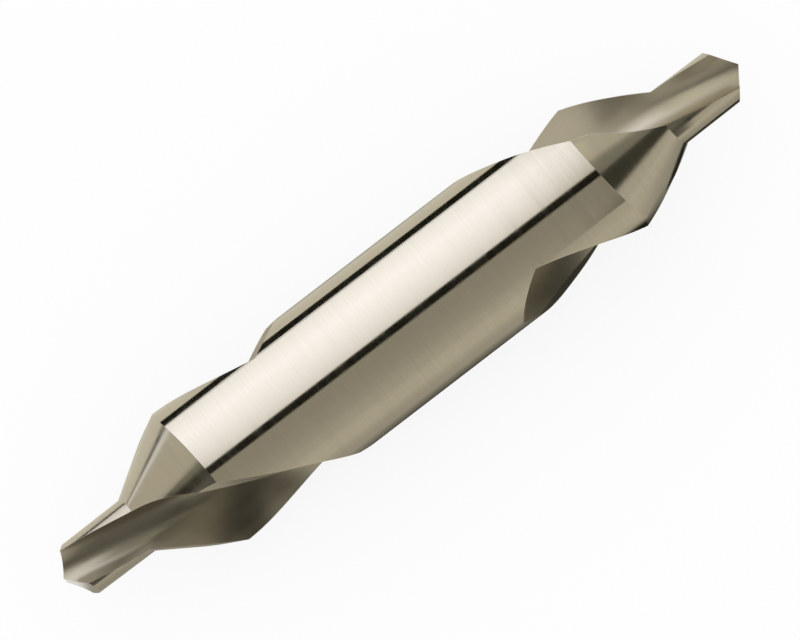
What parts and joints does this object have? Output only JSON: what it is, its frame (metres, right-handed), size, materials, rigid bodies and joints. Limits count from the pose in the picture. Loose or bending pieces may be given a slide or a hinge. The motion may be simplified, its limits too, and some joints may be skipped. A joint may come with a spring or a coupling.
{
  "type": "centre drill",
  "caption": "Centre drill ground from a round steel bar, with a short pilot drill, a conical countersink and helical flutes at either end.",
  "frame": {"origin": "on the tool's axis at mid-length", "axes": "+X along the tool's axis; half a turn about +Z swaps the ends"},
  "size_m": [0.0536, 0.01, 0.01],
  "materials": {
    "tool_steel": "satin"
  },
  "bodies": {
    "root": {"centre_drill": "tool_steel"}
  },
  "joints": []
}
